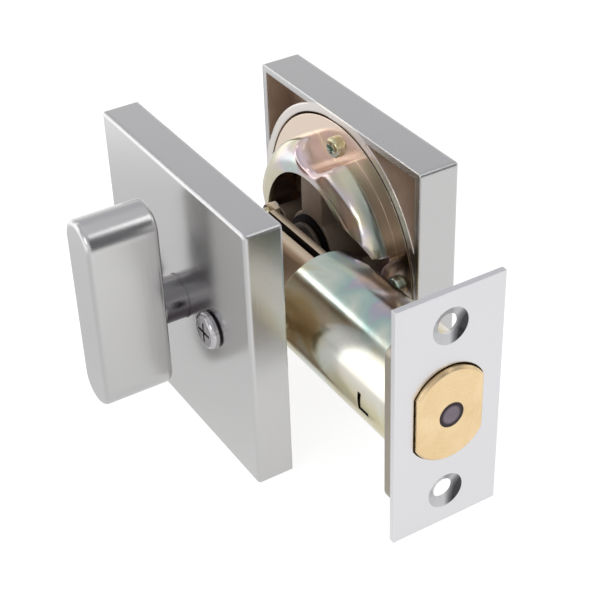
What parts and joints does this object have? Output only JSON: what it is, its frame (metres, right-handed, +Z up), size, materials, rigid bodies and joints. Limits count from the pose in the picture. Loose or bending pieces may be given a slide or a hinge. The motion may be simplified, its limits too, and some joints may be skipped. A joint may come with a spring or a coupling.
{
  "type": "deadbolt lock",
  "caption": "Single-cylinder deadbolt lock with square roses, a slab thumbturn, a tubular latch and a square-cornered faceplate; the thumbturn's crank throws the bolt.",
  "frame": {"origin": "centre of the faceplate's back face, its seat on the door's edge, on the bolt's axis", "axes": "+X out of the door's edge along the bolt, +Y through the door from the room to the street, +Z up"},
  "size_m": [0.0979, 0.0758, 0.0636],
  "materials": {
    "satin_nickel": "satin nickel plate on die-cast zinc",
    "passivated_steel": "zinc plate with yellow iridescent passivation",
    "satin_chrome": "satin chrome plate",
    "bolt_brass": "plain machined brass",
    "hard_steel": "hardened steel, dark",
    "spring_steel": "blued spring steel",
    "screw_steel": "bright nickel-plated steel",
    "pin_brass": "turned brass"
  },
  "bodies": {
    "lock_body": {"interior_rose": "satin_nickel", "mounting_screws": "screw_steel", "exterior_rose": "satin_nickel", "guard_plate": "passivated_steel", "guard_screws": "passivated_steel", "cylinder_housing": "satin_nickel", "chamber_cover": "pin_brass", "driver_pins": "pin_brass", "pin_springs": "spring_steel", "latch_case": "passivated_steel", "tail_rivet": "passivated_steel", "detent_spring": "spring_steel", "faceplate": "satin_chrome", "backing_plate": "passivated_steel"},
    "turn": {"thumbturn": "satin_nickel", "turn_washer": "spring_steel", "turn_clip": "spring_steel", "tailpiece": "hard_steel", "drive_hub": "hard_steel"},
    "deadbolt": {"bolt": "bolt_brass", "bolt_pin": "hard_steel", "bolt_link": "passivated_steel", "link_rivet": "hard_steel"},
    "plug": {"cylinder_plug": "satin_nickel", "plug_clip": "spring_steel", "key_pins": "pin_brass"}
  },
  "joints": [
    {"name": "turn_hinge", "type": "hinge", "parent": "lock_body", "child": "turn", "pos_m": [-0.0637, 0, 0], "axis": [0, -1, 0], "range_deg": [0, 90], "deforming": ["detent_spring"]},
    {"name": "bolt_slide", "type": "slide", "parent": "lock_body", "child": "deadbolt", "axis": [1, 0, 0], "range_m": [0, 0.0254]},
    {"name": "plug_hinge", "type": "hinge", "parent": "lock_body", "child": "plug", "pos_m": [-0.0637, 0, 0], "axis": [0, -1, 0], "range_deg": [-90, 90]}
  ],
  "couplings": [
    {"joint": "turn_hinge", "follows": "bolt_slide", "rad_per_m": 61.842}
  ]
}
